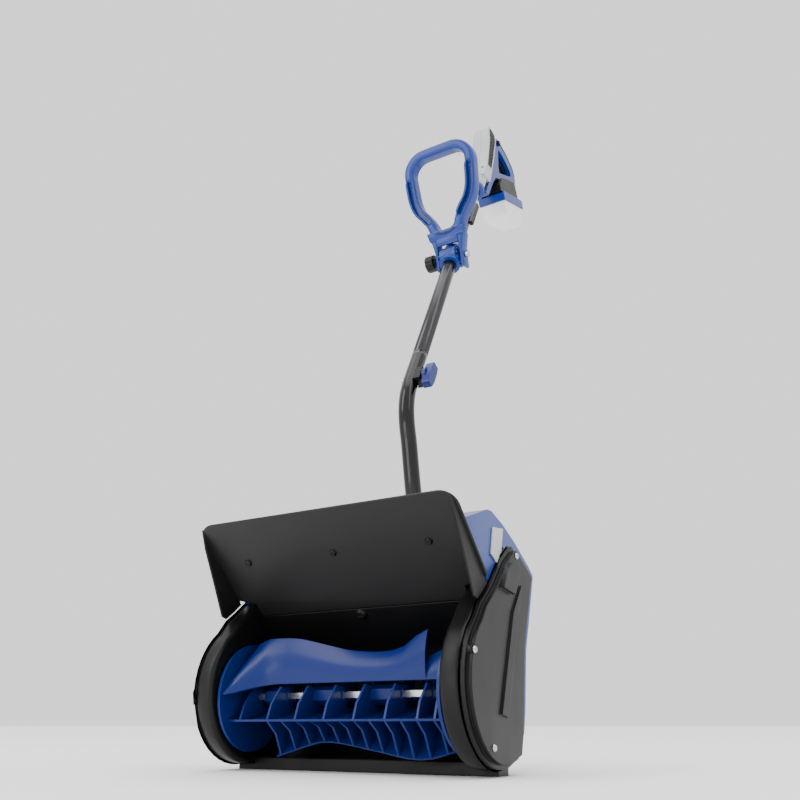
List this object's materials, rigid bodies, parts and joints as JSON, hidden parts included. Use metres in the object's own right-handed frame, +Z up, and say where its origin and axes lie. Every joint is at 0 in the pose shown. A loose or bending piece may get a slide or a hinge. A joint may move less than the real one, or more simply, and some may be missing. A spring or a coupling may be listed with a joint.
{
  "type": "snow blower",
  "caption": "Cordless powered snow shovel with a ribbed paddle auger, deflector, bent pole, D-shaped front handle and battery grip.",
  "frame": {"origin": "middle of the front edge zone of the scraper bar's flat underside, which rests on the ground", "axes": "+Z up, +X to the machine's right-hand belt cover as seen from the front, +Y towards the user's handle"},
  "size_m": [0.3955, 0.7379, 1.3208],
  "materials": {
    "black_housing": "moulded ABS, fine texture",
    "charcoal_deflector": "moulded polypropylene, satin",
    "black_screws": "black oxide",
    "bright_steel": "zinc plated",
    "blue_moulding": "moulded, satin gloss",
    "black_rubber": "matt",
    "painted_tube": "gloss black powder coat",
    "polished_tube": "polished",
    "silver_moulding": "painted silver grey",
    "black_controls": "moulded, fine texture",
    "clouded_case": "clouded, satin",
    "brass_contacts": "plain"
  },
  "bodies": {
    "chassis": {"housing_trough": "black_housing", "right_side_wall": "black_housing", "left_side_wall": "black_housing", "deflector": "charcoal_deflector", "deflector_screw_left": "black_screws", "deflector_screw_centre": "black_screws", "deflector_screw_right": "black_screws", "trough_bolt": "black_screws", "scraper_bar": "black_housing", "belt_cover": "black_housing", "left_end_cover": "black_housing", "belt_cover_screw_front": "bright_steel", "belt_cover_screw_lower": "bright_steel", "belt_cover_screw_upper": "bright_steel", "right_bearing": "bright_steel", "left_bearing": "bright_steel", "drive_belt": "black_rubber", "motor": "bright_steel", "motor_mount": "black_housing", "rear_cover": "blue_moulding", "right_accent_strip": "silver_moulding", "left_accent_strip": "silver_moulding", "lower_tube": "painted_tube", "pole_socket": "black_housing", "upper_tube": "polished_tube", "top_tube": "polished_tube", "clamp_saddle": "black_housing", "clamp_bolt": "bright_steel", "wire_guard": "black_housing", "collar_ring": "blue_moulding", "handle_collar": "silver_moulding", "handle_shell_right": "silver_moulding", "handle_shell_left": "silver_moulding", "right_vent": "black_rubber", "left_vent": "black_rubber", "battery_mount": "black_housing", "battery_contacts": "brass_contacts", "grip_frame": "blue_moulding", "grip_pad": "black_rubber", "switch_body": "silver_moulding", "tail_cap": "silver_moulding"},
    "auger": {"auger_shaft": "bright_steel", "right_auger_disc": "blue_moulding", "left_auger_disc": "blue_moulding", "lower_paddle": "blue_moulding", "upper_paddle": "blue_moulding", "driven_pulley": "black_housing", "shaft_nut": "bright_steel"},
    "motor_rotor": {"motor_shaft": "bright_steel"},
    "tube_knob": {"clamp_knob": "blue_moulding"},
    "aux_slider": {"aux_collar": "blue_moulding"},
    "aux_d_handle": {"aux_handle": "blue_moulding", "aux_nut": "bright_steel"},
    "aux_clamp_knob": {"aux_knob": "black_controls"},
    "trigger_lever": {"trigger": "black_controls"},
    "lock_button_body": {"lock_button": "black_controls"},
    "battery_pack": {"battery_base": "blue_moulding", "battery_case": "clouded_case"},
    "pack_latch": {"battery_latch": "blue_moulding"}
  },
  "joints": [
    {"name": "auger_spin", "type": "hinge", "parent": "chassis", "child": "auger", "pos_m": [0, -0.024, 0.087], "axis": [1, 0, 0], "continuous": true},
    {"name": "motor_spin", "type": "hinge", "parent": "chassis", "child": "motor_rotor", "pos_m": [0, 0.042, 0.205], "axis": [1, 0, 0], "continuous": true},
    {"name": "tube_knob_turn", "type": "hinge", "parent": "chassis", "child": "tube_knob", "pos_m": [0, 0.13306, 0.56854], "axis": [1, 0, 0], "range_deg": [0, 540]},
    {"name": "aux_slide", "type": "slide", "parent": "chassis", "child": "aux_slider", "axis": [0, 0.454, 0.891], "range_m": [-0.12, 0.06]},
    {"name": "aux_tilt", "type": "hinge", "parent": "aux_slider", "child": "aux_d_handle", "pos_m": [0, 0.29105, 0.87861], "axis": [1, 0, 0], "range_deg": [-8, 55]},
    {"name": "aux_knob_turn", "type": "hinge", "parent": "aux_d_handle", "child": "aux_clamp_knob", "pos_m": [0, 0.29105, 0.87861], "axis": [-1, 0, 0], "range_deg": [0, 540]},
    {"name": "trigger_pull", "type": "hinge", "parent": "chassis", "child": "trigger_lever", "pos_m": [0, 0.531, 1.283], "axis": [1, 0, 0], "range_deg": [0, 5], "stiffness_Nm_per_rad": 2, "springref_deg": -1.72},
    {"name": "lock_press", "type": "slide", "parent": "chassis", "child": "lock_button_body", "axis": [-1, 0, 0], "range_m": [0, 0.003], "stiffness_N_per_m": 400, "springref_m": -0.001},
    {"name": "battery_slide", "type": "slide", "parent": "chassis", "child": "battery_pack", "axis": [0, 0.9367, 0.3502], "range_m": [0, 0.08]},
    {"name": "latch_press", "type": "slide", "parent": "battery_pack", "child": "pack_latch", "axis": [0, 0.3502, -0.9367], "range_m": [0, 0.0025], "stiffness_N_per_m": 600, "springref_m": -0.0005}
  ],
  "couplings": [
    {"joint": "motor_spin", "follows": "auger_spin", "ratio": 3.1667}
  ]
}
